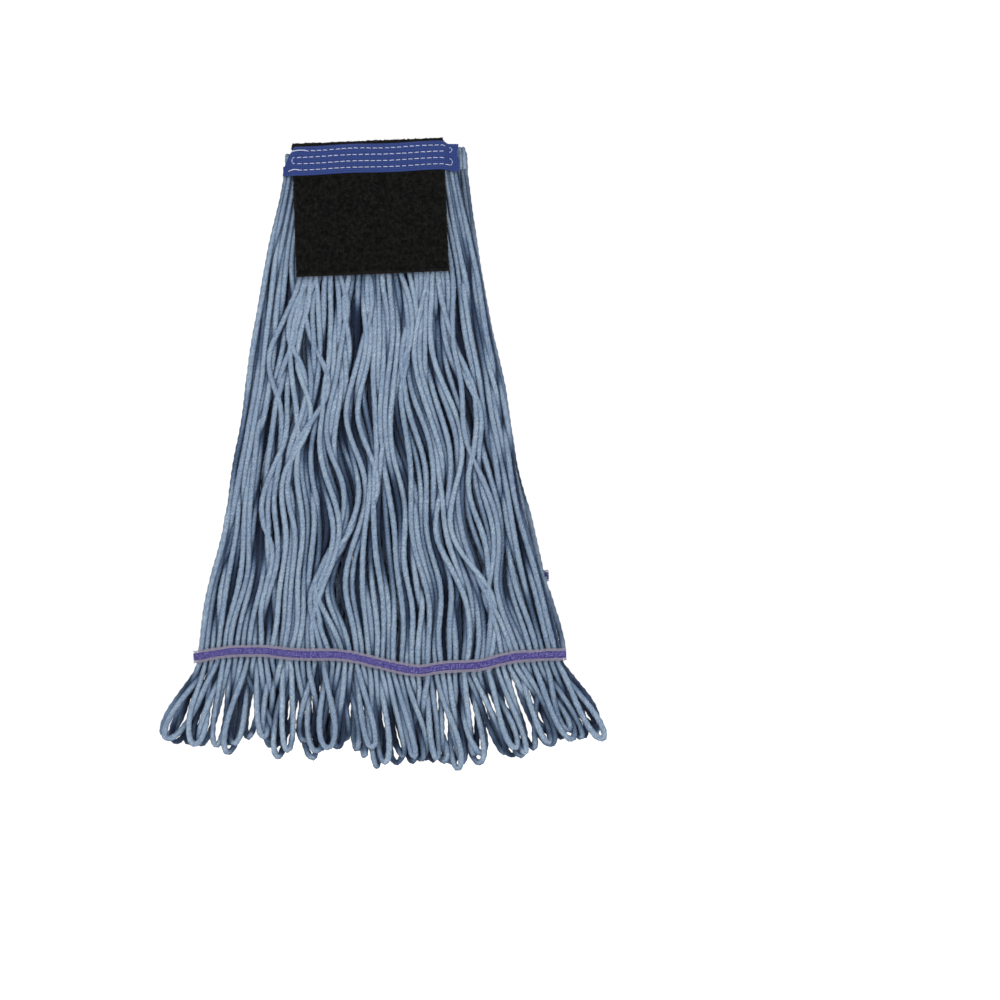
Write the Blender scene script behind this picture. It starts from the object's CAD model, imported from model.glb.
import math

import bpy
import numpy as np
from mathutils import Matrix, Vector


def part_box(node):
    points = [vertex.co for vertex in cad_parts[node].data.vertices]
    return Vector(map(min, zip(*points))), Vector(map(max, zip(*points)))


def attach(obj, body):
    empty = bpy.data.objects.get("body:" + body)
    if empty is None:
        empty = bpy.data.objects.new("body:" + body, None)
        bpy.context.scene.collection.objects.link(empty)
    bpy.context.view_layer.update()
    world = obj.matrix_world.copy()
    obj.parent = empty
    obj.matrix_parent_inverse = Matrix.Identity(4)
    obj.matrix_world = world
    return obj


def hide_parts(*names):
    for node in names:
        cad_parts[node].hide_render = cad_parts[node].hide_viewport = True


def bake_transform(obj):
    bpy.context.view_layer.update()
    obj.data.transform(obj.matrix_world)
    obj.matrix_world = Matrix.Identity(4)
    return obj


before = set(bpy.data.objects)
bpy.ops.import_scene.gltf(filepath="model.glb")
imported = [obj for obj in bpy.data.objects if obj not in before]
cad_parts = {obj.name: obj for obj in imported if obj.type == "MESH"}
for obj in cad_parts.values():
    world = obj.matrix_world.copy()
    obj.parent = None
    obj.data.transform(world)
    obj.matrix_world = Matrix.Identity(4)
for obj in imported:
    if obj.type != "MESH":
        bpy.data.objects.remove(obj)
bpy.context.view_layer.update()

# String mop head. Shapes are worked out in millimetres and scaled to metres when a mesh is made.
MM = 0.001
rng = np.random.default_rng(24)

HALVES = ("front", "rear")
OUTWARD = {"front": -1.0, "rear": 1.0}
COLUMNS = 60
LAYERS = 2
STRANDS = COLUMNS * LAYERS
YARN_RADIUS = 2.55
SQUEEZED_RADIUS = 1.95
BUNDLES = 8
INNER_LOOPS = 18
FIBRE_LENGTH = (1.5, 4.5)
FIBRE_THICKNESS = 0.06
FIBRES_PER_STRAND = 26
FIBRES_PER_LOOP = 16
FOLD_CENTRE_Z = -5.0
FOLD_POINTS = 15


def cad_box(node):
    """The two corners of a node's box in millimetres."""
    low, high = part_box(node)
    return np.array(low) / MM, np.array(high) / MM


# ------------------------------------------------------------------ general helpers

def smoothstep(a, b, x):
    """0 at a, 1 at b, and smooth between them."""
    t = np.clip((np.asarray(x, float) - a) / (b - a), 0, 1)
    return t * t * (3 - 2 * t)


def smooth_noise(points, count, rough):
    """Rows of smooth random curves, each with mean 0 and a spread of about 1."""
    knots = max(4, int(rough) + 3)
    raw = rng.normal(size=(count, knots))
    at = np.linspace(0, knots - 1.001, points)
    i = at.astype(int)
    f = at - i
    f = f * f * (3 - 2 * f)
    return raw[:, i] * (1 - f) + raw[:, np.minimum(i + 1, knots - 1)] * f


def smooth_along(a, passes, axis=1):
    """Repeated three-point smoothing that leaves both ends in place."""
    a = np.moveaxis(a, axis, 0).copy()
    for _ in range(passes):
        a[1:-1] = 0.25 * a[:-2] + 0.5 * a[1:-1] + 0.25 * a[2:]
    return np.moveaxis(a, 0, axis)


def distance_along(path):
    """The distance run from the path's start to each of its points."""
    return np.concatenate([[0], np.cumsum(np.linalg.norm(np.diff(path, axis=0), axis=1))])


def resample(path, values, step):
    """A path and its per-point values at even spacing, with the distance run at each point."""
    s = distance_along(path)
    n = max(8, int(s[-1] / step) + 1)
    t = np.linspace(0, s[-1], n)
    out = np.stack([np.interp(t, s, path[:, k]) for k in range(3)], axis=1)
    return out, np.interp(t, s, values), t


def new_mesh(name, verts, faces, material, attributes=None, smooth=True):
    """A mesh object from arrays in millimetres. faces is a list of arrays, one per corner count."""
    me = bpy.data.meshes.new(name)
    verts = np.asarray(verts, np.float32) * MM
    me.vertices.add(len(verts))
    me.vertices.foreach_set("co", verts.ravel())
    corner = np.concatenate([f.ravel() for f in faces]).astype(np.int32)
    sizes = np.concatenate([np.full(len(f), f.shape[1]) for f in faces])
    starts = np.concatenate([[0], np.cumsum(sizes)[:-1]]).astype(np.int32)
    me.loops.add(len(corner))
    me.loops.foreach_set("vertex_index", corner)
    me.polygons.add(len(starts))
    me.polygons.foreach_set("loop_start", starts)
    me.update(calc_edges=True)
    me.validate()
    me.polygons.foreach_set("use_smooth", np.full(len(me.polygons), smooth))
    for key, values in (attributes or {}).items():
        values = np.asarray(values, np.float32)
        kind = "FLOAT" if values.ndim == 1 else "FLOAT_VECTOR"
        layer = me.attributes.new(key, kind, "POINT")
        layer.data.foreach_set("value" if values.ndim == 1 else "vector", values.ravel())
    me.materials.append(material)
    obj = bpy.data.objects.new(name, me)
    bpy.context.scene.collection.objects.link(obj)
    return obj


class Pile:
    """Collects pieces of one mesh."""

    def __init__(self):
        self.verts = []
        self.quads = []
        self.tris = []
        self.attrs = {}
        self.count = 0

    def add(self, verts, quads=None, tris=None, **attrs):
        if quads is not None and len(quads):
            self.quads.append(quads + self.count)
        if tris is not None and len(tris):
            self.tris.append(tris + self.count)
        self.verts.append(verts)
        for key, values in attrs.items():
            self.attrs.setdefault(key, []).append(values)
        self.count += len(verts)

    def build(self, name, material, smooth=True):
        faces = []
        if self.quads:
            faces.append(np.concatenate(self.quads))
        if self.tris:
            faces.append(np.concatenate(self.tris))
        attrs = {k: np.concatenate(v) for k, v in self.attrs.items()}
        return new_mesh(name, np.concatenate(self.verts), faces, material, attrs, smooth)


def frames_along(path, reference):
    """Tangent and two side vectors at each point. reference is a vector that the path never runs along."""
    tangent = np.gradient(path, axis=0)
    tangent /= np.linalg.norm(tangent, axis=1, keepdims=True) + 1e-9
    side = np.broadcast_to(reference, path.shape)
    side = side - tangent * np.sum(side * tangent, axis=1, keepdims=True)
    side /= np.linalg.norm(side, axis=1, keepdims=True) + 1e-9
    return tangent, side, np.cross(tangent, side)


def add_tube(pile, path, radius, reference, sides=8, plies=4, ply_depth=0.06, twist=30.0, step=2.9, tone=0.5,
             cover=None, outward=1.0, reach_in=6.5):
    """A twisted yarn along a path: a lobed section that turns as it goes. Returns its centre line and radii.

    cover holds, per point, how far out and how far in the surrounding yarn reaches. The deeper a vertex lies
    between the two, the darker its "light" value: painted shade for the crevices between packed yarns."""
    radius = np.broadcast_to(np.asarray(radius, float), (len(path),))
    source = path
    path, radius, run = resample(path, radius, step)
    tangent, side, across = frames_along(path, np.asarray(reference, float))
    phase = rng.uniform(0, 2 * math.pi)
    around = np.arange(sides) * 2 * math.pi / sides
    turn = 2 * math.pi * run / twist + phase
    angle = around[None, :] + turn[:, None]
    lobe = 1 + ply_depth * np.cos(plies * around)[None, :]
    wobble = 1 + 0.04 * smooth_noise(len(run), 1, run[-1] / 12)[0]
    r = radius[:, None] * lobe * wobble[:, None]
    offset = (side[:, None, :] * (np.cos(angle) * r)[..., None]
              + across[:, None, :] * (np.sin(angle) * r)[..., None])
    verts = (path[:, None, :] + offset).reshape(-1, 3)
    n = len(path)
    i = np.arange(n - 1)[:, None] * sides
    j = np.arange(sides)[None, :]
    k = (j + 1) % sides
    quads = np.stack([i + j, i + sides + j, i + sides + k, i + k], axis=-1).reshape(-1, 4)
    caps = np.array([[len(verts), (a + 1) % sides, a] for a in range(sides)]
                    + [[len(verts) + 1, (n - 1) * sides + a, (n - 1) * sides + (a + 1) % sides]
                       for a in range(sides)])
    verts = np.concatenate([verts, path[:1], path[-1:]])
    coordinate = np.stack([
        np.repeat(run, sides), np.tile(around * radius.mean(), n), np.full(n * sides, tone * 100)], axis=1)
    coordinate = np.concatenate([coordinate, coordinate[:1], coordinate[-1:]])
    attributes = {"yarn": coordinate, "tone": np.full(len(verts), tone)}
    if cover is not None:
        length = distance_along(source)
        outer = np.append(np.repeat(np.interp(run, length, cover[0]), sides), cover[0][[0, -1]])
        inner = np.append(np.repeat(np.interp(run, length, cover[1]), sides), cover[1][[0, -1]])
        depth = outward * verts[:, 1]
        buried = np.minimum(outer - depth, depth - inner)
        # more shade where the yarn is packed under the headband
        buried = buried + 1.2 * smoothstep(-95, -20, verts[:, 2])
        # the flanks of a strand, where it meets its neighbours, are painted darker than its ridge
        axis_y = np.append(np.repeat(path[:, 1], sides), path[[0, -1], 1])
        ridge = outward * (verts[:, 1] - axis_y) / radius.mean()
        flank = 0.22 + 0.78 * smoothstep(-0.3, 0.9, np.abs(ridge))
        attributes["light"] = (1 - smoothstep(0.8, reach_in, buried)) * flank
    pile.add(verts, quads, caps, **attributes)
    return path, radius


def grid_faces(rows, cols, wrap=False):
    """The quads of a grid of points, closed across its columns when wrap is set."""
    i = np.arange(rows - 1)[:, None] * cols
    last = cols if wrap else cols - 1
    j = np.arange(last)[None, :]
    k = (j + 1) % cols
    return np.stack([i + j, i + k, i + cols + k, i + cols + j], axis=-1).reshape(-1, 4)


def grid_rim(rows, cols):
    """The points around the edge of a grid, in order."""
    return np.concatenate([
        np.arange(cols), np.arange(1, rows) * cols + cols - 1,
        (rows - 1) * cols + np.arange(cols - 2, -1, -1), np.arange(rows - 2, 0, -1) * cols])


def add_fibres(pile, base, out, length, thickness, **attributes):
    """Fine hairs that stand off a surface: closed three-sided slivers, bent once."""
    count = len(base)

    def unit(v):
        return v / np.linalg.norm(v, axis=1, keepdims=True)

    way = unit(out + rng.normal(0, 0.6, out.shape))
    side = unit(np.cross(way, rng.normal(0, 1, out.shape)))
    other = np.cross(way, side)
    span = rng.uniform(*length, count)[:, None]
    middle = base + way * span * 0.55
    tip = middle + unit(way + rng.normal(0, 0.8, out.shape)) * span * 0.45
    corners = [side * math.cos(a) + other * math.sin(a) for a in (0, 2 * math.pi / 3, 4 * math.pi / 3)]
    rings = [base + c * thickness for c in corners] + [middle + c * thickness * 0.8 for c in corners] + [tip]
    start = np.arange(count)[:, None, None] * len(rings)
    quads = start + np.array([[0, 1, 4, 3], [1, 2, 5, 4], [2, 0, 3, 5]])
    tris = start + np.array([[0, 2, 1], [3, 4, 6], [4, 5, 6], [5, 3, 6]])
    values = {key: np.full(count * len(rings), value) for key, value in attributes.items()}
    if "tone" in values:
        values["yarn"] = np.repeat(base, len(rings), axis=0)
    pile.add(np.stack(rings, axis=1).reshape(-1, 3), quads.reshape(-1, 4), tris.reshape(-1, 3), **values)


def cover_of(x, depth, radius, reach=7.5):
    """For strands side by side at each level: how far out and in the yarn around each one reaches."""
    near = np.abs(x[:, None, :] - x[None, :, :]) < reach
    outer = np.where(near, (depth + radius)[None, :, :], -1e9).max(axis=1)
    inner = np.where(near, (depth - radius)[None, :, :], 1e9).min(axis=1)
    return smooth_along(outer, 2), smooth_along(inner, 2)


# ------------------------------------------------------------------ the head's measurements, from its CAD

def tail_line(half):
    """The tail tape's centre line, read from the CAD tape: x and z."""
    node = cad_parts[f"{half}_tail_tape"]
    points = {}
    for v in node.data.vertices:
        x = round(v.co.x / MM, 1)
        z = v.co.z / MM
        low, high = points.get(x, (z, z))
        points[x] = (min(low, z), max(high, z))
    keep = [(x, (low + high) / 2) for x, (low, high) in sorted(points.items()) if high - low > 4]
    return np.array(keep)


TAIL = {half: tail_line(half) for half in HALVES}
FACE = {half: abs(cad_box(f"{half}_tail_tape")[0 if half == "rear" else 1][1]) for half in HALVES}
BAND_LOW, BAND_HIGH = cad_box("headband_outer_tape")
SLOT_LINER = cad_box("headband_inner_tape")[1][1]


def tail_height(half, x):
    """The height of the tail band at x. Its line has corners, and the sewn band is smooth."""
    line = TAIL[half]
    z = np.interp(x, line[:, 0], line[:, 1])
    for d in (-9, 9):
        z = z + 0.5 * np.interp(x + d, line[:, 0], line[:, 1])
    return z / 2


# Height, left, right, outer face and inner face of the curtains. These are the sections of the CAD curtains,
# repeated here by hand, so a change there has to be made here too.
LEVELS = {
    "front": np.array([(8, -71, 73, 18.4, 5.6), (-9.8, -73.5, 74, 19.1, 5.3), (-95, -96, 90, 29.3, 12),
                       (-290, -132, 117, 37.5, 21.5), (-440, -170, 151, 40.6, 25.6)]),
    "rear": np.array([(8, -71, 82, 18.4, 5.6), (-9.8, -73.5, 84, 19.1, 5.3), (-95, -90, 93, 29.3, 12),
                      (-230, -112, 112, 36, 20.5), (-385, -152, 144, 40.6, 25.6)]),
}


def level(half, z, column):
    """One measure of a curtain at the heights z."""
    rows = LEVELS[half][::-1]
    return np.interp(z, rows[:, 0], rows[:, column])


# ------------------------------------------------------------------ yarn of the two curtains

def radius_profile(z, z_tail):
    """Yarn is squeezed under the headband and by the tail band's stitching."""
    squeezed = SQUEEZED_RADIUS + (YARN_RADIUS - SQUEEZED_RADIUS) * smoothstep(-5, -110, z)
    at_tail = 1 - 0.16 * np.exp(-((z - z_tail) / 7.0) ** 2)
    return squeezed * at_tail


def curtain_strands(half, levels=84):
    """Centre lines of all strands of one half, from inside the headband to the tail band's lower edge.

    The strands start in even columns, get waves of slack, and are then pushed apart. That lessens the places
    where strands pass into one another and does not end them all."""
    rank = np.arange(STRANDS)
    layer = rank % LAYERS
    share = (rank // LAYERS + 0.5 + 0.25 * (layer * 2 - 1)) / COLUMNS
    line = TAIL[half]
    tail_x = line[0, 0] + 2 + (line[-1, 0] - line[0, 0] - 4) * share
    end_z = tail_height(half, tail_x) - 7.5
    top_z = 6.0 if half == "front" else -2.0
    t = np.linspace(0, 1, levels)
    z = top_z + (end_z[:, None] - top_z) * t[None, :]
    left = level(half, z, 1)
    right = level(half, z, 2)
    x = left + 3 + (right - left - 6) * share[:, None]
    # slack gathers in long waves that neighbouring strands share
    u = share[:, None]
    envelope = smoothstep(0.02, 0.3, t)[None, :] * (1 - smoothstep(0.93, 1.0, t))[None, :]
    wave = np.zeros_like(x)
    for amount, across, down in ((5.0, 1.3, 1.1), (7.5, 2.3, 2.5), (5.5, 3.7, 3.9), (2.4, 8.5, 5.0)):
        shift = rng.uniform(0, 2 * math.pi, 2)
        wave += amount * np.sin(2 * math.pi * (down * t[None, :] + across * u) + shift[0]) * \
            np.cos(2 * math.pi * across * 0.6 * u + shift[1])
    # close above the tail band the slack is pushed sideways in a tight bend
    crowd = np.exp(-((t - 0.85) / 0.06) ** 2)[None, :]
    lean = 13.0 * np.sin(2 * math.pi * (1.7 * u + 0.13)) + 6.0 * np.sin(2 * math.pi * 4.1 * u + 1.0)
    # the outermost strands bow outwards instead
    lean = lean * smoothstep(0.02, 0.2, u) * (1 - smoothstep(0.86, 0.98, u))
    lean = lean - 7.0 * (1 - smoothstep(0.0, 0.12, u))
    own = smooth_noise(levels, STRANDS, 4) * 2.6 + smooth_noise(levels, STRANDS, 9) * 1.0
    calm_edge = smoothstep(-0.03, 0.16, u) * (1 - smoothstep(0.84, 1.03, u))
    x = x + (wave * calm_edge + own * (0.35 + 0.65 * calm_edge)) * envelope + lean * crowd
    outer = level(half, z, 3)
    inner = level(half, z, 4)
    depth = outer - YARN_RADIUS - layer[:, None] * 4.6
    depth -= (2.0 + smooth_noise(levels, STRANDS, 6) * 2.6) * envelope
    radius = radius_profile(z, end_z[:, None] + 7.5)
    # a few strands stray across their neighbours
    strays = rng.choice(np.arange(6, STRANDS - 6), 14, replace=False)
    for s in strays:
        centre = rng.uniform(0.3, 0.88)
        width = rng.uniform(0.05, 0.1)
        push = rng.choice([-1, 1]) * rng.uniform(12, 22)
        bump = np.exp(-((t - centre) / width) ** 2)
        x[s] += push * bump
        depth[s] = np.maximum(depth[s], outer[s] - YARN_RADIUS + 0.5 * bump)
    home_x, home_d = x.copy(), depth.copy()
    for sweep in range(50):
        dx = x[:, None, :] - x[None, :, :]
        dd = depth[:, None, :] - depth[None, :, :]
        dist = np.sqrt(dx * dx + dd * dd) + 1e-6
        need = (radius[:, None, :] + radius[None, :, :]) * 0.86
        push = np.clip(need - dist, 0, None) / dist * 0.5 * 0.7
        np.einsum("iik->ik", push)[:] = 0
        x += np.sum(dx * push, axis=1) * 0.25
        depth += np.sum(dd * push, axis=1) * 0.8
        pull = 0.03 if sweep < 40 else 0.01
        x += (home_x - x) * pull
        depth += (home_d - depth) * pull * 3
        depth = np.minimum(depth, outer - radius + 0.4)
        depth = np.maximum(depth, inner + radius * 0.7 - 4.0 * smoothstep(-60, -200, z))
        low_x, high_x = left + radius * 0.8, right - radius * 0.8
        allow = 6 * envelope
        x = np.clip(x, low_x - allow, high_x + allow)
        ends_x, ends_d = x[:, -1].copy(), depth[:, -1].copy()
        x = smooth_along(x, 1)
        depth = smooth_along(depth, 1)
        x[:, -1] = 0.9 * tail_x + 0.1 * ends_x
        depth[:, -1] = ends_d
    path = np.stack([x, OUTWARD[half] * depth, z], axis=-1)
    return path, radius, share, cover_of(x, depth, radius)


def fold_path(x, depth, radius):
    """The strand's way from the front leg over the clamp bar slot to the top of the rear curtain."""
    reach = SLOT_LINER + np.clip(depth - SLOT_LINER, 0.6, 14) * 0.95
    angle = np.linspace(math.pi, 0, FOLD_POINTS)
    y = reach * np.cos(angle)
    z = FOLD_CENTRE_Z + reach * np.sin(angle) * 1.02
    front = np.array([[x, -reach, -9.0]])
    arch = np.stack([np.full(FOLD_POINTS, x), y, z], axis=1)
    path = np.concatenate([front, arch])
    return path, np.full(len(path), radius)


# ------------------------------------------------------------------ looped fringe

def fringe_loops(half, strand_ends):
    """Each pair of neighbouring strands runs on below the tail band and back, as one open loop.

    Returns the centre lines, the normal of each loop's own plane, and how far the yarn around reaches."""
    sign = OUTWARD[half]
    count = STRANDS // 2 + INNER_LOOPS
    steps = 40
    t = np.linspace(0, 1, steps)
    order = np.argsort(strand_ends[:, 0] + rng.normal(0, 4.5, STRANDS))
    roots = strand_ends[order]
    # some loops more, set behind the others
    behind = roots[rng.permutation(STRANDS)[:2 * INNER_LOOPS]]
    behind = behind[np.argsort(behind[:, 0])] + np.array([0.0, -sign * 5.0, 0.0])
    roots = np.concatenate([roots, behind])
    first, second = roots[0::2].copy(), roots[1::2].copy()
    # in a third of the loops the two legs cross
    crossed = (rng.random(count) < 0.35) == (first[:, 0] < second[:, 0])
    first[crossed], second[crossed] = second[crossed].copy(), first[crossed].copy()
    middle = (first + second) / 2
    share = (middle[:, 0] - strand_ends[:, 0].min()) / np.ptp(strand_ends[:, 0])
    widest = 1.0 if half == "front" else 0.35
    fan = np.radians(widest * np.interp(share, [0, 0.12, 0.5, 0.88, 1], [-26, -10, 3, 14, 26]))
    fan = fan + np.radians(rng.normal(0, 7, count))
    length = np.interp(share, [0, 0.1, 0.5, 0.9, 1], [74, 79, 76, 76, 70]) * (1 + rng.normal(0, 0.06, count))
    width = rng.uniform(10, 20, count) * np.where(rng.random(count) < 0.3, 0.6, 1)
    spin = rng.uniform(-0.9, 0.9, count)
    lean = math.radians(7) + rng.normal(0, 0.06, count)
    across = np.stack([np.cos(fan), np.zeros(count), np.sin(fan)], axis=1)
    down = np.stack([np.sin(fan), np.zeros(count), -np.cos(fan)], axis=1)
    down = down * np.cos(lean)[:, None] + np.array([0, sign, 0]) * np.sin(lean)[:, None]
    depth_axis = np.cross(across, down)
    wide = across * np.cos(spin)[:, None] + depth_axis * np.sin(spin)[:, None]
    v = (1 - np.cos(2 * math.pi * t)) / 2
    side = np.where(t < 0.5, -1.0, 1.0)
    turn = np.clip((v - 0.78) / 0.22, 0, 1)
    closing = np.sqrt(np.clip(1 - turn ** 2, 0, 1))
    open_up = smoothstep(0.1, 0.72, v)
    bow = smooth_noise(steps, count, 2) * 3.0 * np.sin(math.pi * t)[None, :]
    root_half = (second - first) / 2
    leg = (root_half[:, None, :] * (1 - open_up)[None, :, None]
           + wide[:, None, :] * (open_up[None, :] * width[:, None] / 2)[..., None])
    path = (middle[:, None, :]
            + leg * (side * closing)[None, :, None]
            + down[:, None, :] * (v[None, :] * length[:, None])[..., None]
            + depth_axis[:, None, :] * bow[..., None])
    path[:, 0], path[:, -1] = first, second
    # spread the loops in three depths, then push apart whatever still overlaps
    depths = (np.arange(count) % 3 - 1) * 5.5
    path[..., 1] += sign * depths[:, None] * smoothstep(0.03, 0.5, v)[None, :]
    owner = np.repeat(np.arange(count), steps)
    place = np.tile(np.arange(steps), count)
    pinned = np.tile((t < 0.05) | (t > 0.95), count)
    near_own = np.abs(place[:, None] - place[None, :]) < 6
    same = (owner[:, None] == owner[None, :]) & near_own
    home = path.copy()
    for _ in range(36):
        flat = path.reshape(-1, 3)
        gap = flat[:, None, :] - flat[None, :, :]
        dist = np.sqrt(np.sum(gap * gap, axis=-1)) + 1e-6
        push = np.clip(YARN_RADIUS * 1.86 - dist, 0, None) / dist
        push[same] = 0
        move = np.sum(gap * push[..., None], axis=1) * 0.22
        move[:, 1] *= 1.6
        move[pinned] = 0
        size = np.linalg.norm(move, axis=1, keepdims=True)
        move *= np.minimum(1, 1.5 / (size + 1e-9))
        path = (flat + move).reshape(path.shape)
        path += (home - path) * 0.015
        path = smooth_along(path, 1)
    path[..., 1] = sign * np.clip(sign * path[..., 1], 20, 57)
    path = smooth_along(path, 2)
    flat = path.reshape(-1, 3)
    apart = (flat[:, None, 0] - flat[None, :, 0]) ** 2 + (flat[:, None, 2] - flat[None, :, 2]) ** 2
    near = apart < 7.0 ** 2
    depth = sign * flat[:, 1]
    outer = np.where(near, depth[None, :], -1e9).max(axis=1) + YARN_RADIUS
    inner = np.where(near, depth[None, :], 1e9).min(axis=1) - YARN_RADIUS
    cover = smooth_along(outer.reshape(count, steps), 2), smooth_along(inner.reshape(count, steps), 2)
    plane = depth_axis * np.cos(spin)[:, None] - across * np.sin(spin)[:, None]
    return path, plane, cover


# ------------------------------------------------------------------ materials

class Shader:
    """Short notation for building a node material."""

    def __init__(self, name):
        self.mat = bpy.data.materials.new(name)
        self.mat.use_nodes = True
        self.tree = self.mat.node_tree
        self.bsdf = self.tree.nodes["Principled BSDF"]

    def node(self, kind, inputs=None, **props):
        n = self.tree.nodes.new(kind)
        for key, value in props.items():
            setattr(n, key, value)
        for key, value in (inputs or {}).items():
            self.feed(n.inputs[key], value)
        return n

    def feed(self, socket, value):
        if isinstance(value, bpy.types.NodeSocket):
            self.tree.links.new(value, socket)
        else:
            socket.default_value = value

    def math(self, op, a, b=0.0, clamp=False):
        n = self.node("ShaderNodeMath", operation=op, use_clamp=clamp)
        self.feed(n.inputs[0], a)
        self.feed(n.inputs[1], b)
        return n.outputs[0]

    def mix(self, factor, a, b):
        n = self.node("ShaderNodeMix", data_type="RGBA")
        self.feed(n.inputs[0], factor)
        self.feed(n.inputs[6], a)
        self.feed(n.inputs[7], b)
        return n.outputs[2]

    def tint(self, a, b):
        """Colour a multiplied by colour b."""
        n = self.node("ShaderNodeMix", data_type="RGBA", blend_type="MULTIPLY")
        n.inputs[0].default_value = 1.0
        self.feed(n.inputs[6], a)
        self.feed(n.inputs[7], b)
        return n.outputs[2]

    def noise(self, vector, scale, detail=2.0, roughness=0.5):
        n = self.node("ShaderNodeTexNoise", {"Scale": scale, "Detail": detail, "Roughness": roughness})
        self.feed(n.inputs["Vector"], vector)
        return n.outputs["Fac"]

    def attribute(self, name, output="Vector"):
        return self.node("ShaderNodeAttribute", attribute_name=name).outputs[output]

    def scaled(self, vector, scale):
        n = self.node("ShaderNodeVectorMath", operation="MULTIPLY")
        self.feed(n.inputs[0], vector)
        n.inputs[1].default_value = scale
        return n.outputs[0]

    def ramp(self, factor, stops):
        n = self.node("ShaderNodeValToRGB")
        self.feed(n.inputs[0], factor)
        ramp = n.color_ramp
        while len(ramp.elements) < len(stops):
            ramp.elements.new(0.5)
        for element, (position, colour) in zip(ramp.elements, stops):
            element.position = position
            element.color = (*colour, 1)
        return n.outputs[0]

    def finish(self, colour, height=None, *, strength=0.5, distance=0.0006, roughness, sheen, specular):
        self.feed(self.bsdf.inputs["Base Color"], colour)
        self.bsdf.inputs["Roughness"].default_value = roughness
        self.bsdf.inputs["Sheen Weight"].default_value = sheen
        self.bsdf.inputs["Sheen Roughness"].default_value = 0.5
        self.bsdf.inputs["Specular IOR Level"].default_value = specular
        if height is not None:
            bump = self.node("ShaderNodeBump", {"Strength": strength, "Distance": distance})
            self.feed(bump.inputs["Height"], height)
            self.feed(self.bsdf.inputs["Normal"], bump.outputs[0])
        return self.mat


def yarn_material():
    """Twisted yarn. Its "light" attribute darkens yarn that lies among other yarn."""
    s = Shader("yarn")
    run = s.attribute("yarn")
    tone = s.attribute("tone", "Fac")
    position = s.node("ShaderNodeTexCoord").outputs["Object"]
    fibres = s.noise(s.scaled(run, (0.35, 1.6, 1.0)), 1.6, 5.0, 0.72)
    blotch = s.noise(position, 70.0, 2.0)
    flecks = s.noise(position, 900.0, 1.0)
    base = s.ramp(fibres, [(0.41, (0.108, 0.178, 0.286)), (0.5, (0.215, 0.297, 0.41)),
                           (0.6, (0.4, 0.48, 0.58))])
    shade = s.ramp(blotch, [(0.3, (0.84, 0.87, 0.92)), (0.7, (1.06, 1.05, 1.03))])
    own = s.ramp(tone, [(0.0, (0.82, 0.84, 0.88)), (1.0, (1.08, 1.07, 1.05))])
    dyed = s.tint(s.tint(base, shade), own)
    lint = s.math("GREATER_THAN", flecks, 0.72)
    colour = s.mix(s.math("MULTIPLY", lint, 0.35), dyed, (0.72, 0.76, 0.8, 1))
    depths = s.ramp(s.attribute("light", "Fac"), [(0.0, (0.03, 0.055, 0.11)), (0.25, (0.11, 0.16, 0.25)),
                                                 (0.55, (0.44, 0.51, 0.6)), (0.9, (1.12, 1.1, 1.07))])
    fuzz = s.math("ADD", fibres, s.math("MULTIPLY", s.noise(position, 1500.0, 2.0, 0.7), 0.8))
    return s.finish(s.tint(colour, depths), fuzz, strength=1.0, distance=0.0009, roughness=0.95, sheen=0.12,
                    specular=0.08)


def woven_material(name, dark, light, pitch, sheen, fleck=(0, 0, 0), fleck_share=0.0):
    """A plain weave at the given pitch in millimetres, with optional light flecks."""
    s = Shader(name)
    position = s.attribute("cloth")
    # a wave texture of scale 1 repeats every pi / 10
    bands = math.pi / 10
    along = s.node("ShaderNodeTexWave", {"Scale": bands / pitch, "Distortion": 0.6, "Detail": 1.0},
                   wave_type="BANDS", bands_direction="X")
    s.feed(along.inputs["Vector"], position)
    across = s.node("ShaderNodeTexWave", {"Scale": 0.8 * bands / pitch, "Distortion": 0.6, "Detail": 1.0},
                    wave_type="BANDS", bands_direction="Y")
    s.feed(across.inputs["Vector"], position)
    weave = s.math("MULTIPLY", along.outputs["Fac"], across.outputs["Fac"])
    grain = s.noise(position, 1.3 / pitch, 3.0)
    height = s.math("ADD", weave, s.math("MULTIPLY", grain, 0.5))
    colour = s.mix(s.math("MULTIPLY", height, 0.8, True), (*dark, 1), (*light, 1))
    if fleck_share:
        spots = s.noise(position, 1.7 / pitch, 1.0)
        lit = s.math("MULTIPLY", s.math("GREATER_THAN", spots, 1 - fleck_share), 0.75)
        colour = s.mix(lit, colour, (*fleck, 1))
    return s.finish(colour, height, strength=0.6, distance=0.0004, roughness=0.8, sheen=sheen, specular=0.3)


def thread_material(name, dark, light):
    """Fine twisted sewing thread."""
    s = Shader(name)
    run = s.attribute("yarn")
    twist = s.noise(s.scaled(run, (0.8, 2.0, 1.0)), 2.5, 3.0)
    colour = s.mix(twist, (*dark, 1), (*light, 1))
    return s.finish(colour, twist, strength=0.4, distance=0.0002, roughness=0.7, sheen=0.25, specular=0.35)


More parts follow.
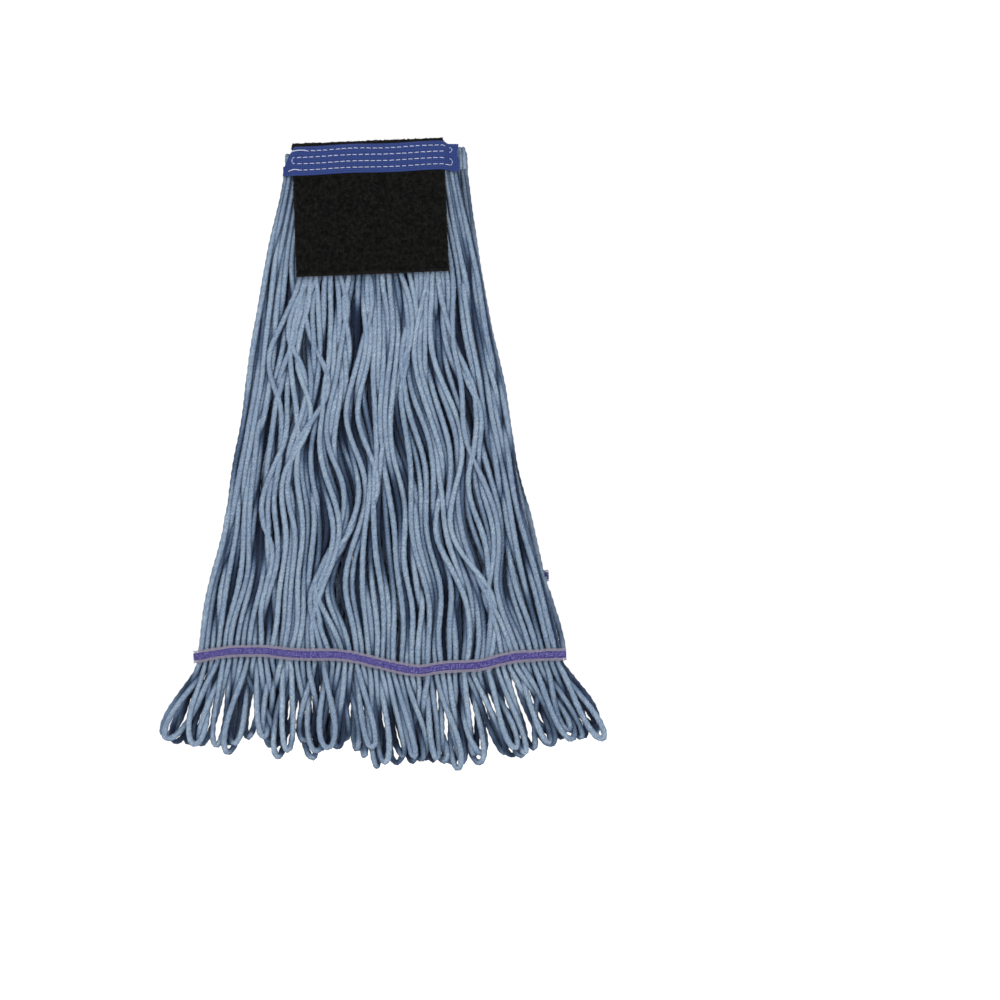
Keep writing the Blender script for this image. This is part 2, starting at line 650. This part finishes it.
def pad_material():
    """Black web of tangled fibre, paler along its cut edge."""
    s = Shader("scrub_pad")
    position = s.node("ShaderNodeTexCoord").outputs["Object"]
    warp = s.noise(position, 300.0, 3.0, 0.6)
    tangle = s.node("ShaderNodeTexVoronoi", {"Scale": 1100.0}, feature="DISTANCE_TO_EDGE")
    s.feed(tangle.inputs["Vector"], position)
    web = s.math("SUBTRACT", 1.0, s.math("MULTIPLY", tangle.outputs[0], 4.0, True), True)
    height = s.math("ADD", s.math("MULTIPLY", web, 0.5), warp)
    edge = s.attribute("edge", "Fac")
    colour = s.ramp(height, [(0.35, (0.0015, 0.0015, 0.0015)), (0.75, (0.004, 0.004, 0.004)),
                             (1.0, (0.014, 0.014, 0.013))])
    colour = s.mix(s.math("MULTIPLY", edge, 0.6), colour, (0.03, 0.026, 0.022, 1))
    return s.finish(colour, height, strength=0.9, distance=0.0008, roughness=0.95, sheen=0.0, specular=0.025)


YARN = yarn_material()
BLUE_DARK = (0.003, 0.009, 0.06)
BLUE_LIGHT = (0.022, 0.053, 0.225)
WEAVE_PITCH = 1.5
TAPE = woven_material("headband_tape", BLUE_DARK, BLUE_LIGHT, WEAVE_PITCH, sheen=0.03)
LINER = woven_material("inner_tape", BLUE_DARK, BLUE_LIGHT, WEAVE_PITCH, sheen=0.03)
TAIL_TAPE = woven_material("tail_tape", (0.016, 0.011, 0.09), (0.06, 0.046, 0.23), WEAVE_PITCH, sheen=0.05,
                           fleck=(0.24, 0.23, 0.46), fleck_share=0.4)
STITCH = thread_material("headband_thread", (0.22, 0.26, 0.42), (0.55, 0.57, 0.68))
MAUVE = thread_material("tail_thread", (0.1, 0.09, 0.15), (0.32, 0.28, 0.36))
PAD = pad_material()


# ------------------------------------------------------------------ build: yarn

# a strand turns from the headband's motion to its curtain's over this stretch
# a rear strand is smoothed over the fold path's FOLD_POINTS + 1 points and the first two of its leg
JOINED_POINTS = FOLD_POINTS + 3


def add_fuzz(pile, skin, out, pick):
    """Stray fibres on a yarn, from the picked points of its skin."""
    add_fibres(pile, skin[pick], out[pick], FIBRE_LENGTH, FIBRE_THICKNESS, tone=0.9, light=0.9)


def build_curtain(half):
    """The eight yarn pieces of one half. Returns the strands' centre lines."""
    path, radius, share, cover = curtain_strands(half)
    piles = [Pile() for _ in range(BUNDLES)]
    for k in range(STRANDS):
        line, r = path[k], radius[k]
        reach = [cover[0][k], cover[1][k]]
        if half == "rear":
            start, start_r = fold_path(line[0, 0], line[0, 1], r[0])
            line = np.concatenate([start, line[1:]])
            r = np.concatenate([start_r, r[1:]])
            line[:JOINED_POINTS] = smooth_along(line[:JOINED_POINTS], 3, axis=0)
            # over the crown the outermost yarn lies in the light
            depth = np.linalg.norm(start[:, 1:] - np.array([0, FOLD_CENTRE_Z]), axis=1)
            reach = [np.concatenate([np.abs(start[:, 1]) + c[k][0] - depth, c[k][1:]]) for c in cover]
        pile = piles[min(BUNDLES - 1, int(share[k] * BUNDLES))]
        tone = float(np.clip(rng.normal(0.5, 0.25), 0, 1))
        spine, spine_r = add_tube(pile, line, r, (1, 0, 0), tone=tone, cover=reach, outward=OUTWARD[half])
        below_band = spine[:, 2] < -12
        around = rng.uniform(0, 2 * math.pi, len(spine))
        normals = np.stack([np.cos(around), np.sin(around), np.zeros(len(spine))], axis=1)
        skin = spine + normals * spine_r[:, None] * 0.95
        add_fuzz(pile, skin, normals, rng.choice(np.flatnonzero(below_band), FIBRES_PER_STRAND))
    for b, pile in enumerate(piles):
        obj = pile.build(f"{half}_yarn_{b + 1}", YARN)
        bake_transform(obj)
        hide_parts(f"{half}_yarn_bundle_{b + 1}")
        if half == "rear" and b == 0:
            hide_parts("headband_yarn_fold")
    return path


def build_fringe(half, path):
    """The eight loop pieces of one half, from the lower ends of its strands."""
    loops, plane, cover = fringe_loops(half, path[:, -1])
    count = len(loops)
    piles = [Pile() for _ in range(BUNDLES)]
    for place, k in enumerate(np.argsort(loops[:, 0, 0])):
        pile = piles[min(BUNDLES - 1, place * BUNDLES // count)]
        t = np.linspace(0, 1, loops.shape[1])
        r = YARN_RADIUS * (0.86 + 0.14 * smoothstep(0, 0.1, np.minimum(t, 1 - t)))
        tone = float(np.clip(rng.normal(0.5, 0.25), 0, 1))
        line = loops[k]
        # both ends run on up under the tail band
        run_on = np.array([[0, 0, 7.0]])
        line = np.concatenate([line[:1] + run_on, line, line[-1:] + run_on])
        r = np.concatenate([[r[0]], r, [r[-1]]])
        reach = [np.concatenate([c[k][:1], c[k], c[k][-1:]]) for c in cover]
        spine, spine_r = add_tube(pile, line, r, plane[k], tone=tone, cover=reach, outward=OUTWARD[half],
                                  reach_in=11.0, step=2.2)
        around = rng.normal(size=(len(spine), 3))
        around /= np.linalg.norm(around, axis=1, keepdims=True)
        skin = spine + around * spine_r[:, None] * 0.9
        add_fuzz(pile, skin, around, rng.integers(0, len(spine), FIBRES_PER_LOOP))
    for b, pile in enumerate(piles):
        obj = pile.build(f"{half}_loops_{b + 1}", YARN)
        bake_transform(obj)
        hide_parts(f"{half}_loop_bundle_{b + 1}")


for half in HALVES:
    strands = build_curtain(half)
    build_fringe(half, strands)


# ------------------------------------------------------------------ build: tapes and thread

def strip(centre, across, out, half_width, thickness, columns, edge_dip):
    """A tape along a centre line, with a rounded closed section: its points, cloth coordinates and quads.
    Arrays hold one row per station."""
    n = len(centre)
    u = np.linspace(-1, 1, columns)
    top = thickness * (1 - edge_dip * u ** 6)
    ring_u = np.concatenate([u, u[::-1]])
    ring_h = np.concatenate([top, np.zeros(columns)])
    verts = (centre[:, None, :] + across[:, None, :] * (ring_u * half_width)[None, :, None]
             + out[:, None, :] * ring_h[None, :, None])
    run = distance_along(centre)
    cloth = np.stack([
        np.repeat(run, 2 * columns), np.tile(ring_u * half_width, n), np.tile(ring_h, n)], axis=1)
    return verts, cloth, grid_faces(n, 2 * columns, wrap=True)


def build_tail_band(half):
    """One half's tail tape and the two rows of stitching along its edges."""
    sign = OUTWARD[half]
    line = TAIL[half]
    x = np.arange(line[0, 0] - 1, line[-1, 0] + 1.5, 0.8)
    z = tail_height(half, x)
    ripple = 0.45 * np.cos(2 * math.pi * (x - x[0]) / 5.9) + 0.5 * smooth_noise(len(x), 1, 14)[0]
    y = sign * (FACE[half] + 0.1 + ripple)
    centre = np.stack([x, y, z], axis=1)
    tangent, _, _ = frames_along(centre, np.array([0.0, 1.0, 0.0]))
    out = np.tile([0.0, sign, 0.0], (len(x), 1))
    across = np.cross(out, tangent)
    across /= np.linalg.norm(across, axis=1, keepdims=True)
    if across[0, 2] < 0:
        across = -across
    verts, cloth, quads = strip(centre, across, out, half_width=3.0, thickness=1.0, columns=9, edge_dip=0.6)
    chevron = 0.16 * np.sin(cloth[:, 0] * 2 * math.pi / 2.4 + np.abs(cloth[:, 1]) * 1.6)
    verts = verts.reshape(-1, 3)
    verts[:, 1] += sign * chevron * (cloth[:, 2] > 0.2)
    pile = Pile()
    pile.add(verts, quads, cloth=cloth)
    tape = pile.build(f"{half}_tail_tape_cloth", TAIL_TAPE)
    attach(tape, f"{half}_curtain")
    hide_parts(f"{half}_tail_tape")
    stitch_pitch = 3.1
    for label, side in (("upper", 1.0), ("lower", -1.0)):
        pile = Pile()
        for strand in range(2):
            fine = np.arange(x[0], x[-1], 0.35)
            phase = strand * math.pi
            turn = 2 * math.pi * fine / stitch_pitch + phase
            zig = 0.95 * np.sin(turn)
            lift = 0.75 + 0.4 * np.cos(turn)
            base_z = np.interp(fine, x, z) + side * (3.9 + 0.25 * smooth_noise(len(fine), 1, 40)[0])
            base_y = np.interp(fine, x, FACE[half] + ripple * 0.6)
            points = np.stack([fine, sign * (base_y + lift * 0.7), base_z + zig], axis=1)
            add_tube(pile, points, 0.42, (0, 1, 0), sides=6, plies=2, ply_depth=0.12, twist=2.6, step=0.5,
                     tone=0.5 + 0.3 * strand)
        thread = pile.build(f"{half}_tail_stitching_{label}", MAUVE)
        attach(thread, f"{half}_curtain")
        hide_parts(f"{half}_tail_thread_{label}")


for half in HALVES:
    build_tail_band(half)


# ------------------------------------------------------------------ build: headband tape and its stitching

# The tape lies on the pad, which stands out as far as PAD_FACE and turns over the top at a rounded shoulder.
PAD_LOW, PAD_HIGH = cad_box("scrub_pad_crown")
PAD_FACE = -PAD_LOW[1]
PAD_THICK = 5.0
SHOULDER_RADIUS = 14.0
SHOULDER = (-PAD_FACE + SHOULDER_RADIUS, PAD_HIGH[2] - SHOULDER_RADIUS)
BAND_BOTTOM = BAND_LOW[2]
# heights of the four rows of stitching above the tape's lower edge
ROWS = [4.7 + 5.3 * k for k in range(4)]
STITCH_PITCH = 5.2
TAPE_WIDTH = (SHOULDER[1] - BAND_BOTTOM) + math.radians(42) * SHOULDER_RADIUS


def tape_point(x, w, lift=0.0):
    """A point of the headband tape's face at x and at a distance w up from its lower edge."""
    x, w = np.broadcast_arrays(np.asarray(x, float), np.asarray(w, float))
    straight = SHOULDER[1] - BAND_BOTTOM
    angle = np.clip(w - straight, 0, None) / SHOULDER_RADIUS
    y = np.where(w < straight, -PAD_FACE, SHOULDER[0] - SHOULDER_RADIUS * np.cos(angle))
    z = np.where(w < straight, BAND_BOTTOM + w, SHOULDER[1] + SHOULDER_RADIUS * np.sin(angle))
    ny, nz = -np.cos(angle), np.sin(angle)
    # past the pad's ends the tape steps back on to the yarn
    step_back = 3.8 * (smoothstep(PAD_LOW[0] + 1, PAD_LOW[0] - 5, x)
                       + smoothstep(PAD_HIGH[0] - 1, PAD_HIGH[0] + 5, x))
    pucker = 0
    for row_height in ROWS:
        pucker = pucker + 0.55 * np.exp(-((w - row_height) / 1.1) ** 2) * (
            0.75 + 0.25 * np.cos(2 * math.pi * x / STITCH_PITCH))
    belly = 0.35 * np.sin(x * 0.13) * np.sin(w * 0.5)
    height = 1.1 + lift - step_back - pucker + belly
    droop = 1.8 * smoothstep(58, 75, x) * (1 - w / 30) + 0.35 * np.sin(x * 0.09)
    return np.stack([x, y + ny * height, z + nz * height - droop], axis=-1)


def build_headband_tape():
    """The blue tape around the front of the headband, as one closed sheet with a puckered face."""
    rows, cols = 56, 300
    w = np.linspace(0, TAPE_WIDTH, rows)[:, None]
    left = BAND_LOW[0] + 11.0 * (w / TAPE_WIDTH) ** 1.6
    right = BAND_HIGH[0] + 0.6 * np.sin(w * 0.3)
    x = left + (right - left) * np.linspace(0, 1, cols)[None, :]
    ww = np.broadcast_to(w, x.shape)
    rib = 0.12 * np.sin(2 * math.pi * x / 2.0) + 0.08 * np.sin(2 * math.pi * ww / 1.3)
    face = tape_point(x, ww, rib)
    back = tape_point(x, ww, -1.0)
    n = rows * cols
    front_quads = grid_faces(rows, cols)
    rim = grid_rim(rows, cols)
    after = np.roll(rim, -1)
    side_quads = np.stack([rim, rim + n, after + n, after], axis=1)
    cloth = np.stack([x, ww, np.zeros_like(x)], axis=-1).reshape(-1, 3)
    pile = Pile()
    pile.add(np.concatenate([face.reshape(-1, 3), back.reshape(-1, 3)]),
             np.concatenate([front_quads, front_quads[:, ::-1] + n, side_quads]),
             cloth=np.concatenate([cloth, cloth]))
    tape = pile.build("headband_tape_cloth", TAPE)
    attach(tape, "headband")
    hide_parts("headband_outer_tape")


def build_stitches():
    """One thread in four rows, each row joined to the next by a turn, with two loose ends at the left."""
    pile = Pile()
    left, right = BAND_LOW[0] + 13, BAND_HIGH[0] - 8

    def stitch(points, radius=0.34):
        t = np.linspace(0, 1, len(points))
        arch = np.sin(math.pi * t) * 0.55 - 0.1
        line = tape_point(points[:, 0], points[:, 1], arch)
        add_tube(pile, line, radius, (0, 1, 0), sides=6, plies=2, ply_depth=0.1, twist=2.4, step=0.5,
                 tone=float(rng.uniform(0.3, 1)))

    for index, w in enumerate(ROWS):
        x = left + (6.0 if index == 3 else 0.0) + rng.uniform(-0.5, 0.5)
        while x < right - 3:
            length = 3.4 + rng.uniform(-0.3, 0.3)
            tilt = rng.uniform(-0.25, 0.25)
            t = np.linspace(0, 1, 9)
            stitch(np.stack([x + length * t, w + tilt * (t - 0.5)], axis=1))
            x += STITCH_PITCH + rng.uniform(-0.25, 0.25)
        if index < 3:
            turn_x = right + 0.5 if index != 1 else left - 2.5
            way = 1 if index != 1 else -1
            for part in (0.0, 0.36, 0.72):
                a = np.linspace(part, part + 0.28, 8) * math.pi - math.pi / 2
                stitch(np.stack([turn_x + way * 2.2 * np.cos(a), w + 2.65 + 2.65 * np.sin(a)], axis=1))
    # long loose ends: one along the top row, one along the lowest row
    for w, x, length in ((ROWS[3], left - 5.5, 13.0), (ROWS[0], left - 8.0, 9.0)):
        t = np.linspace(0, 1, 40)
        height = w + 0.8 * np.sin(t * 3.0) - 0.6 * (1 - t)
        points = tape_point(x + length * t, height, 0.35 + 0.1 * np.sin(9 * t))
        add_tube(pile, points, 0.45, (0, 1, 0), sides=6, plies=2, ply_depth=0.1, twist=2.4, step=0.5,
                 tone=1.0)
    thread = pile.build("headband_stitching", STITCH)
    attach(thread, "headband")
    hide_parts("headband_thread")


def build_inner_tape():
    """The tape that lines the fold, where the clamp bar bears."""
    angle = np.linspace(math.pi, 0, 21)
    arch_z = -4
    leg = np.linspace(BAND_BOTTOM, arch_z, 6)
    outside = SLOT_LINER
    inside = outside - 1.1

    def path(r):
        """Up one leg, over the arch and down the other leg."""
        arch = np.stack([r * np.cos(angle), arch_z + r * np.sin(angle)], axis=1)
        return np.concatenate([np.stack([np.full(len(leg), -r), leg], axis=1), arch,
                               np.stack([np.full(len(leg), r), leg[::-1]], axis=1)])

    ring = np.concatenate([path(outside), path(inside)[::-1]])
    x = np.linspace(BAND_LOW[0], BAND_HIGH[0], 150)
    verts = np.stack([
        np.repeat(x, len(ring)), np.tile(ring[:, 0], len(x)), np.tile(ring[:, 1], len(x))], axis=1)
    run = distance_along(ring)
    cloth = np.stack([np.repeat(x, len(ring)), np.tile(run, len(x)), np.zeros(len(verts))], axis=1)
    pile = Pile()
    # faces that close the two open ends
    low = np.arange(len(ring) // 2 - 1)
    high = len(ring) - 1 - low
    end = np.stack([low, low + 1, high - 1, high], axis=1)
    far_end = end[:, ::-1] + (len(x) - 1) * len(ring)
    pile.add(verts, np.concatenate([grid_faces(len(x), len(ring), wrap=True), end, far_end]), cloth=cloth)
    tape = pile.build("headband_liner_cloth", LINER, smooth=False)
    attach(tape, "headband")
    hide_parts("headband_inner_tape")


build_headband_tape()
build_stitches()
build_inner_tape()


# ------------------------------------------------------------------ build: scrub pad

def pad_sheet(name, outer_path, normals, body, node):
    """A thick fibrous sheet swept along X from a Y-Z path of its outer face. Its nap is a piece of its own."""
    rows = len(outer_path)
    cols = 180
    left, right = PAD_LOW[0], PAD_HIGH[0]
    x = np.linspace(left, right, cols)
    end_weight = np.abs(np.linspace(-1, 1, cols)) ** 20
    rough = rng.normal(0, 1, (rows, cols))
    for _ in range(2):
        rough = (rough + np.roll(rough, 1, 0) + np.roll(rough, 1, 1) + np.roll(rough, -1, 0)) / 4
    rough *= 0.5
    grids = []
    for relief in (rough, -0.6 * rough - PAD_THICK):
        y = outer_path[:, 0][:, None] + normals[:, 0][:, None] * relief
        z = outer_path[:, 1][:, None] + normals[:, 1][:, None] * relief
        ragged_x = x[None, :] + 0.25 * rng.normal(0, 1, rows)[:, None] * end_weight[None, :]
        grids.append(np.stack([ragged_x, y, z], axis=-1))
    n = rows * cols
    quads = grid_faces(rows, cols)
    rim = grid_rim(rows, cols)
    a, b = (grid.reshape(-1, 3) for grid in grids)
    # rounded, slightly ragged rim in four steps between the two faces
    away = (a[rim] + b[rim]) / 2 - a.mean(0)
    away[:, 1] = 0
    away /= np.linalg.norm(away, axis=1, keepdims=True)
    rings = []
    for t in (0.3, 0.5, 0.7):
        ragged = 0.55 * math.sin(math.pi * t) + rng.normal(0, 0.16, len(rim))
        rings.append(a[rim] * (1 - t) + b[rim] * t + away * ragged[:, None])
    verts = np.concatenate([a, b] + rings)
    between = [2 * n + step * len(rim) + np.arange(len(rim)) for step in range(len(rings))]
    index_rings = [rim] + between + [rim + n]
    sides = []
    for low, high in zip(index_rings, index_rings[1:]):
        sides.append(np.stack([low, high, np.roll(high, -1), np.roll(low, -1)], axis=1))
    # 1 on the cut edge, for the material
    edge = np.zeros(len(verts))
    edge[2 * n:] = 1.0
    edge[rim] = 0.5
    edge[rim + n] = 0.5
    pile = Pile()
    pile.add(verts, np.concatenate([quads, quads[:, ::-1] + n] + sides), edge=edge)
    # fibres that stand off the faces and the rim
    count = 1500
    pick = rng.integers(0, n, count)
    base = a[pick]
    out = np.zeros((count, 3))
    out[:, 1:] = normals[pick // cols]
    rim_pick = rng.integers(0, len(rim), count // 2)
    base = np.concatenate([base, rings[1][rim_pick]])
    out = np.concatenate([out, away[rim_pick]])
    nap_pile = Pile()
    add_fibres(nap_pile, base, out * 0.5, (0.9, 2.6), 0.06, edge=0.25)
    obj = pile.build(name, PAD)
    nap = nap_pile.build(name + "_nap", PAD)
    for piece in (obj, nap):
        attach(piece, body)
    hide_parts(node)


def crown_path():
    """The pad's outer face over the headband, from the front's lower edge to the rear's, with its normals."""
    angle = np.linspace(0, math.pi / 2, 16)
    leg = np.linspace(BAND_BOTTOM + 0.5, SHOULDER[1], 8)
    rear_radius = 20.0
    rear = (PAD_FACE - rear_radius, PAD_HIGH[2] - rear_radius)
    down = np.linspace(rear[1], BAND_BOTTOM + 0.5, 6)
    parts = [
        (np.stack([np.full(8, -PAD_FACE), leg], axis=1), np.tile([-1.0, 0.0], (8, 1))),
        (np.stack([SHOULDER[0] - SHOULDER_RADIUS * np.cos(angle),
                   SHOULDER[1] + SHOULDER_RADIUS * np.sin(angle)], axis=1),
         np.stack([-np.cos(angle), np.sin(angle)], axis=1)),
        (np.stack([np.linspace(SHOULDER[0], rear[0], 8)[1:-1], np.full(6, PAD_HIGH[2])], axis=1),
         np.tile([0.0, 1.0], (6, 1))),
        (np.stack([rear[0] + rear_radius * np.sin(angle), rear[1] + rear_radius * np.cos(angle)], axis=1),
         np.stack([np.sin(angle), np.cos(angle)], axis=1)),
        (np.stack([np.full(5, PAD_FACE), down[1:]], axis=1), np.tile([1.0, 0.0], (5, 1))),
    ]
    path = np.concatenate([p for p, _ in parts])
    normals = np.concatenate([n for _, n in parts])
    keep = np.concatenate([[True], np.linalg.norm(np.diff(path, axis=0), axis=1) > 0.2])
    return path[keep], normals[keep]


def flap_path(half):
    """A flap's outer face from the crown down, with its normals."""
    low, high = cad_box(f"scrub_pad_{half}_flap")
    sign = OUTWARD[half]
    near = abs(low[1]) if half == "front" else high[1]
    top = (sign * (PAD_FACE + 0.3), high[2])
    bottom = (sign * near, low[2])
    t = np.linspace(0, 1, 60 if half == "front" else 32)
    y = top[0] + (bottom[0] - top[0]) * t + sign * 0.8 * np.sin(math.pi * t)
    z = top[1] + (bottom[1] - top[1]) * t
    return np.stack([y, z], axis=1), np.tile([sign, 0.0], (len(t), 1))


pad_sheet("scrub_pad_over_band", *crown_path(), "headband", "scrub_pad_crown")
for half in HALVES:
    pad_sheet(f"scrub_pad_{half}", *flap_path(half), f"{half}_scrub_flap", f"scrub_pad_{half}_flap")


# ------------------------------------------------------------------ stage, light and camera

def stage_material():
    """Plain, very pale and matt."""
    s = Shader("studio_floor")
    position = s.node("ShaderNodeTexCoord").outputs["Object"]
    grain = s.noise(position, 3.0, 2.0)
    colour = s.mix(grain, (0.985, 0.985, 0.985, 1), (0.995, 0.995, 0.995, 1))
    return s.finish(colour, None, roughness=1.0, sheen=0.0, specular=0.0)


FLOOR_SIZE = 40.0
FLOOR_Z = -0.72
bpy.ops.mesh.primitive_plane_add(size=FLOOR_SIZE, location=(0, 0, FLOOR_Z))
floor = bpy.context.object
floor.name = "studio_floor"
floor.data.materials.append(stage_material())

world = bpy.data.worlds.new("studio")
bpy.context.scene.world = world
world.use_nodes = True
background = world.node_tree.nodes["Background"]
background.inputs["Color"].default_value = (1, 1, 1, 1)
background.inputs["Strength"].default_value = 1.03


def area_light(name, location, size, power):
    """A round soft light aimed at the middle of the mop."""
    data = bpy.data.lights.new(name, "AREA")
    data.shape = "DISK"
    data.size = size
    data.energy = power
    light = bpy.data.objects.new(name, data)
    bpy.context.scene.collection.objects.link(light)
    light.location = location
    light.rotation_euler = (LIGHT_TARGET - Vector(location)).to_track_quat("-Z", "Y").to_euler()


LIGHT_TARGET = Vector((0, 0, -0.25))
area_light("key", (-1.1, -1.9, 1.2), size=1.0, power=26)
area_light("fill", (1.6, -1.6, 0.3), size=1.6, power=12)
area_light("back", (0.3, 2.0, 1.2), size=1.4, power=18)

# The camera looks straight at the front, from where the view is VIEW_WIDTH metres wide at the mop.
CAMERA_TARGET = Vector((0.0011, 0, -0.2852))
VIEW_WIDTH = 0.85
camera_data = bpy.data.cameras.new("camera")
camera_data.lens = 100
camera_data.sensor_width = 36
camera_data.clip_end = 100
camera_data.shift_x = 0.115
camera = bpy.data.objects.new("camera", camera_data)
bpy.context.scene.collection.objects.link(camera)
distance = VIEW_WIDTH * camera_data.lens / camera_data.sensor_width
look = Matrix.Rotation(math.radians(90), 4, "X")
roll = Matrix.Rotation(math.radians(-2.3), 4, "Z")
camera.matrix_world = Matrix.Translation(CAMERA_TARGET + Vector((0, -distance, 0))) @ look @ roll
bpy.context.scene.camera = camera
bpy.context.scene.view_settings.view_transform = "Standard"
bpy.context.scene.view_settings.look = "None"
